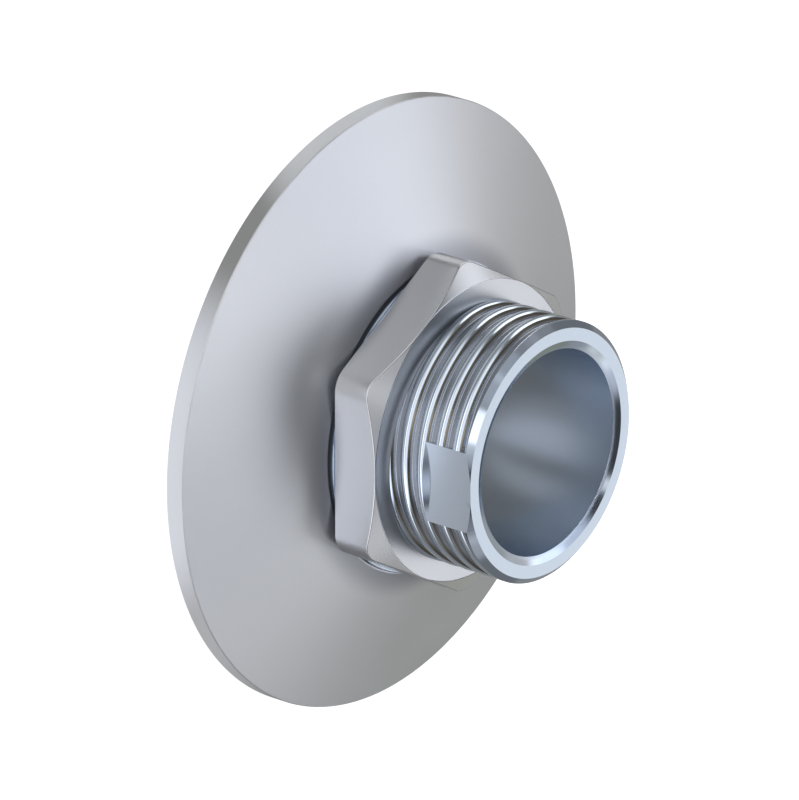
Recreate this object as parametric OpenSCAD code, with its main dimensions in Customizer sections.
// Drain funnel with a clamped, threaded outlet.
// Millimetres. +Z runs up the outlet's axis. The origin is the centre of the
// circle that the funnel's rim stands on.

/* [Funnel plate] */
// Outer radius of the funnel's rim
rim_r = 56; // [50:0.5:70]
// Height of the rim's straight outer edge
rim_h = 3.5; // [2.5:0.1:5]
// Slope of the cone, in degrees from level
cone_deg = 21; // [16:0.5:26]
// Thickness of the sheet, square to its surface
plate_t = 3.2; // [2.5:0.1:3.4]
// Width of the level land that the rim stands on
land_w = 2; // [1:0.1:4]
// Radius of the level seat round the hole
seat_r = 28.7; // [28.6:0.1:30]
// Radius of the hole for the outlet tube
hole_r = 24.3; // [24.1:0.1:24.8]

/* [Outlet tube] */
// Outer radius of the tube over its thread crests
tube_r = 23.9; // [23.5:0.1:23.9]
// Radius of the neck from the collar up through the nut, at the thread's pitch line
neck_r = 23.16; // [22.8:0.01:23.2]
// Radius of the plain bore
bore_r = 18.9; // [17:0.1:20]
// Height of the tube's end above the floor
end_z = 41.2; // [38:0.1:60]
// Outer end chamfer, across the radius
end_ch_r = 1.15; // [0.5:0.05:1.4]
// Outer end chamfer, along the axis
end_ch_z = 1.0; // [0.4:0.05:1.4]
// Bore chamfer at the free end, across the radius
bore_ch_r = 1.5; // [0.5:0.05:1.6]
// Bore chamfer at the free end, along the axis
bore_ch_z = 0.6; // [0.4:0.05:1.4]
// Distance of the milled flat from the axis
flat_d = 22.68; // [22.6:0.01:23.4]
// Turn of the milled flat about the axis, away from -X, in degrees
flat_turn = 1.3; // [0:0.1:10]
// Height at which the flat runs out in the crest surface
flat_z = 31.35; // [30:0.05:33]
// Rise of the flat's sloping shoulder, from crest to flat
flat_rise = 0.8; // [0.4:0.05:1.2]

/* [Inner collar] */
// Radius of the collar inside the funnel
collar_r = 29.5; // [28.5:0.1:30]
// Thickness of the collar
collar_t = 3.3; // [2.5:0.1:4]
// Chamfer of the collar's lower outer edge
collar_ch = 0.8; // [0.2:0.1:1.2]
// Radius of the inlet's countersink
inlet_r = 22; // [20.2:0.1:24]

/* [Lock nut] */
// Width across the flats
nut_af = 55.5; // [54:0.5:60]
// Thickness of the nut
nut_h = 9.2; // [7:0.1:11]
// Rounding radius of the six upright corners
nut_round = 4.7; // [2:0.1:6]
// Radius of the level front face
nut_face_r = 27.6; // [26.5:0.1:27.7]
// Angle of the front chamfer, in degrees from level
nut_ch_deg = 30; // [20:1:35]
// Radius of the nut's hole, a hair over the thread's pitch line
nut_bore_r = 23.26; // [23.24:0.01:23.5]

/* [Washer and seal] */
// Outer radius of the washer
washer_r = 28.4; // [28:0.1:28.5]
// Thickness of the washer
washer_t = 0.8; // [0.5:0.1:1.2]
// Thickness of the seal ring, clamped
seal_t = 2; // [1.5:0.1:2.5]
// Outer radius of the seal ring
seal_r = 28.4; // [27:0.1:28.4]

/* [Hidden] */
$fn = 128;
e = 1;

// heights of the stack, from the rim's land upwards
seat_z = rim_h + (rim_r - seat_r) * tan(cone_deg);
plate_v = plate_t / cos(cone_deg);
under_z = seat_z - plate_t;
seal_z = under_z - seal_t;
collar_z = seal_z - collar_t;
nut_z = seat_z + washer_t;
// height at which the free thread's crest surface starts, just above the nut
crest_z = nut_z + nut_h + 0.5;

// height of the cone's hollow side at radius r
function hollow(r) = rim_h + (rim_r - r) * tan(cone_deg) - plate_v;
// radius at which the hollow side reaches the level seat's underside
under_r = rim_r - (under_z + plate_v - rim_h) / tan(cone_deg);

module funnel_plate() {
    color([0.72, 0.73, 0.75])
    rotate_extrude()
    polygon([
        [rim_r, 0], [rim_r, rim_h], [seat_r, seat_z], [hole_r, seat_z],
        [hole_r, under_z], [under_r, under_z],
        [rim_r - land_w - 1, hollow(rim_r - land_w - 1)],
        [rim_r - land_w, 0]
    ]);
}

// outside of the tube and collar as one turned shape, its seam turned away
// from the milled flat
module tube_outside() {
    rotate(40)
    rotate_extrude()
    polygon([
        [0, collar_z], [collar_r - collar_ch, collar_z],
        [collar_r, collar_z + collar_ch], [collar_r, seal_z],
        [neck_r, seal_z], [neck_r, crest_z], [tube_r, crest_z],
        [tube_r, end_z - end_ch_z],
        [tube_r - end_ch_r, end_z], [0, end_z]
    ]);
}

// what the flat takes away: beyond its plane, and outside the shoulder's cone
module flat_cut() {
    k = (tube_r - flat_d) / flat_rise;
    rotate(flat_turn)
    difference() {
        translate([-flat_d - 10, -20, flat_z - e])
            cube([10, 40, end_z - flat_z + 2 * e]);
        rotate_extrude()
        polygon([
            [0, flat_z - 2 * e], [tube_r + 12, flat_z - 2 * e],
            [tube_r + 12, flat_z], [tube_r, flat_z],
            [flat_d - 3, flat_z + (tube_r - flat_d + 3) / k],
            [0, flat_z + (tube_r - flat_d + 3) / k]
        ]);
    }
}

module bore_cut() {
    rotate_extrude()
    polygon([
        [0, collar_z - e], [inlet_r + e, collar_z - e],
        [inlet_r, collar_z], [bore_r, collar_z + inlet_r - bore_r],
        [bore_r, end_z - bore_ch_z], [bore_r + bore_ch_r, end_z],
        [bore_r + bore_ch_r, end_z + e], [0, end_z + e]
    ]);
}

module threaded_spigot() {
    color([0.62, 0.67, 0.73])
    difference() {
        tube_outside();
        flat_cut();
        bore_cut();
    }
}

// hexagon with rounded corners, one corner towards +Y
module hex_outline() {
    a = nut_af / 2;
    c = (a - nut_round) / cos(30);
    s = c * sin(30);
    union() {
        polygon([for (i = [0:5]) for (j = [-1, 1])
            [a * cos(60 * i) - j * s * sin(60 * i),
             a * sin(60 * i) + j * s * cos(60 * i)]]);
        // a hair under the rounding radius, so that each arc crosses the
        // polygon's short side and doesn't just touch its flats
        for (i = [0:5]) rotate(210 + 60 * i) translate([-c, 0])
            circle(r = nut_round - 0.01, $fn = 64);
    }
}

module lock_nut() {
    rr = nut_af;
    color([0.72, 0.73, 0.75])
    difference() {
        intersection() {
            translate([0, 0, nut_z]) linear_extrude(nut_h) hex_outline();
            rotate_extrude()
            polygon([
                [0, nut_z - e], [rr, nut_z - e],
                [rr, nut_z + nut_h - (rr - nut_face_r) * tan(nut_ch_deg)],
                [nut_face_r, nut_z + nut_h],
                [nut_face_r, nut_z + nut_h + e], [0, nut_z + nut_h + e]
            ]);
        }
        translate([0, 0, nut_z - e]) cylinder(r = nut_bore_r, h = nut_h + 2 * e);
    }
}

module ring(ro, ri, z, h) {
    translate([0, 0, z])
    difference() {
        cylinder(r = ro, h = h);
        translate([0, 0, -e]) cylinder(r = ri, h = h + 2 * e);
    }
}

module washer() {
    color([0.62, 0.67, 0.73]) ring(washer_r, hole_r, seat_z, washer_t);
}

module seal_ring() {
    color([0.07, 0.07, 0.08]) ring(seal_r, hole_r, seal_z, seal_t);
}

funnel_plate();
threaded_spigot();
lock_nut();
washer();
seal_ring();
